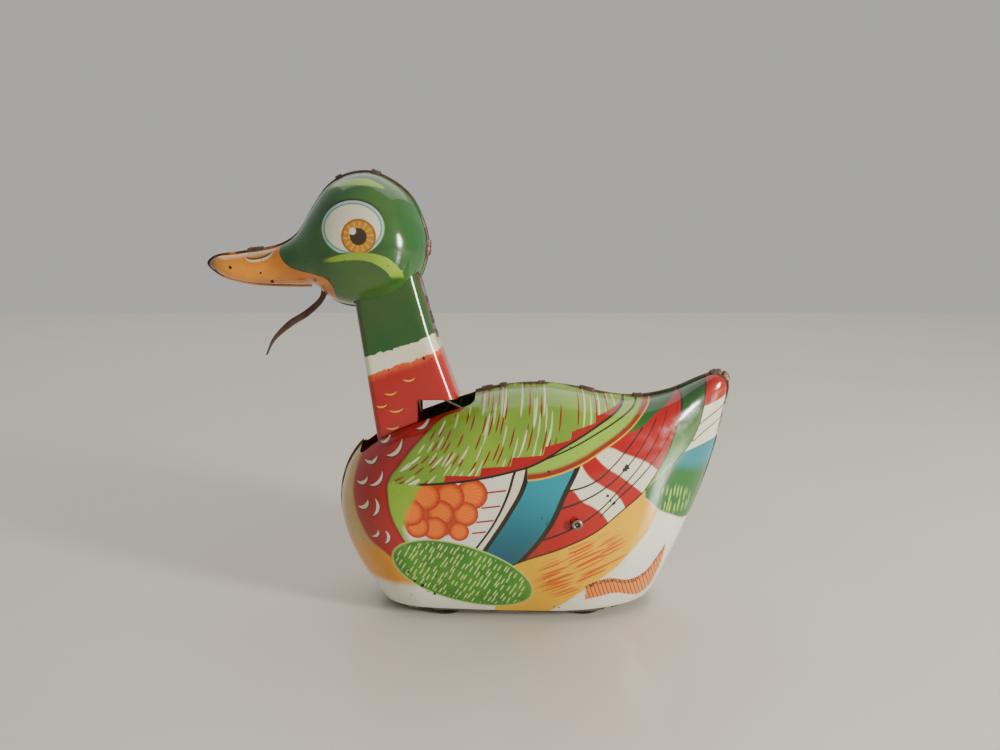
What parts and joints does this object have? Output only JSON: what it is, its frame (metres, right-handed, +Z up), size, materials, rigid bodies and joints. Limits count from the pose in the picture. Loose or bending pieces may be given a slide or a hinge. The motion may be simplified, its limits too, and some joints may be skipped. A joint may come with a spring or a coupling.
{
  "type": "wind-up tin duck toy",
  "caption": "Wind-up tin toy duck: stamped half shells, folded nodding neck driven by a clockwork crank, hinged tongue strip, side key and wheels under a flat base.",
  "frame": {"origin": "centre of the base plate's underside, on the middle plane", "axes": "+Z up out of the base plate; the beak points to -X and the tail to +X; the winding key is on +Y"},
  "size_m": [0.1806, 0.0743, 0.1527],
  "materials": {
    "printed_tin_body": "glossy lithographed tin plate, mostly red, green, yellow and cream",
    "printed_tin_head": "glossy lithographed tin plate, green with an orange bill",
    "printed_tin_neck": "glossy lithographed tin plate, green, white and red bands",
    "plain_steel": "plain tin plate and wire, dulled and spotted with rust",
    "bare_strip": "bare tin strip, brown with age",
    "gear_brass": "stamped brass, satin",
    "spring_steel": "blued spring steel",
    "wheel_tin": "pressed tin wheels, dark and worn"
  },
  "bodies": {
    "body": {"body_shell_left": "printed_tin_body", "body_shell_right": "printed_tin_body", "base_plate": "plain_steel", "front_bracket": "plain_steel", "neck_axle": "plain_steel", "tongue_anchor_pin": "plain_steel", "movement_plate_left": "plain_steel", "movement_plate_right": "plain_steel", "pillar_front": "plain_steel", "pillar_top": "plain_steel", "pillar_rear": "plain_steel", "mainspring": "spring_steel", "key_bushing": "gear_brass", "arbor_eyelet": "plain_steel"},
    "neck": {"neck_tube": "printed_tin_neck", "head_shell_left": "printed_tin_head", "head_shell_right": "printed_tin_head", "tongue_pin": "plain_steel"},
    "tongue": {"tongue_strip": "bare_strip"},
    "tongue_link": {"tongue_wire": "plain_steel"},
    "rear_running_gear": {"rear_axle": "plain_steel", "axle_pinion": "gear_brass", "rear_wheel_left": "wheel_tin", "rear_wheel_right": "wheel_tin"},
    "front_running_gear": {"front_axle": "plain_steel", "front_wheel_left": "wheel_tin", "front_wheel_right": "wheel_tin"},
    "second_train": {"second_arbor": "plain_steel", "second_pinion": "gear_brass", "second_wheel": "gear_brass"},
    "great_train": {"great_wheel": "gear_brass", "click": "plain_steel", "click_rivet": "plain_steel"},
    "winding": {"winding_arbor": "plain_steel", "winding_key": "plain_steel", "ratchet_wheel": "plain_steel"},
    "crank": {"crank_arbor": "plain_steel", "crank_pinion": "gear_brass"},
    "rod": {"connecting_rod": "plain_steel"}
  },
  "joints": [
    {"name": "neck_nod", "type": "hinge", "parent": "body", "child": "neck", "pos_m": [-0.0415, 0, 0.046], "axis": [0, 1, 0], "range_deg": [-8, 10]},
    {"name": "tongue_swing", "type": "hinge", "parent": "neck", "child": "tongue", "pos_m": [-0.0679, 0, 0.1146], "axis": [0, 1, 0], "range_deg": [-13, 11]},
    {"name": "tongue_wire_slide", "type": "slide", "parent": "neck", "child": "tongue_link", "axis": [-0.1299, 0, 0.9915], "range_m": [-0.002, 0.002]},
    {"name": "rear_axle_turn", "type": "hinge", "parent": "body", "child": "rear_running_gear", "pos_m": [0.0226, 0, 0.0075], "axis": [0, 1, 0], "continuous": true},
    {"name": "front_axle_turn", "type": "hinge", "parent": "body", "child": "front_running_gear", "pos_m": [-0.026, 0, 0.0075], "axis": [0, 1, 0], "continuous": true},
    {"name": "second_arbor_turn", "type": "hinge", "parent": "body", "child": "second_train", "pos_m": [0.01323, 0, 0.01843], "axis": [0, 1, 0], "continuous": true},
    {"name": "great_wheel_turn", "type": "hinge", "parent": "body", "child": "great_train", "pos_m": [0.0183, 0, 0.0357], "axis": [0, 1, 0], "continuous": true},
    {"name": "key_turn", "type": "hinge", "parent": "body", "child": "winding", "pos_m": [0.0183, 0, 0.0357], "axis": [0, 1, 0], "continuous": true},
    {"name": "crank_turn", "type": "hinge", "parent": "body", "child": "crank", "pos_m": [0.00551, 0, 0.05002], "axis": [0, 1, 0], "continuous": true},
    {"name": "rod_turn", "type": "hinge", "parent": "crank", "child": "rod", "pos_m": [0.00551, 0, 0.05442], "axis": [0, 1, 0], "continuous": true}
  ],
  "couplings": [
    {"joint": "second_arbor_turn", "follows": "rear_axle_turn", "ratio": -0.33333},
    {"joint": "great_wheel_turn", "follows": "rear_axle_turn", "ratio": 0.083333},
    {"joint": "key_turn", "follows": "rear_axle_turn", "ratio": 0.083333},
    {"joint": "crank_turn", "follows": "rear_axle_turn", "ratio": -0.25},
    {"joint": "rod_turn", "follows": "rear_axle_turn", "ratio": 0.25},
    {"joint": "tongue_swing", "follows": "neck_nod", "ratio": -1.2},
    {"joint": "tongue_wire_slide", "follows": "neck_nod", "m_per_rad": 0.0085}
  ]
}
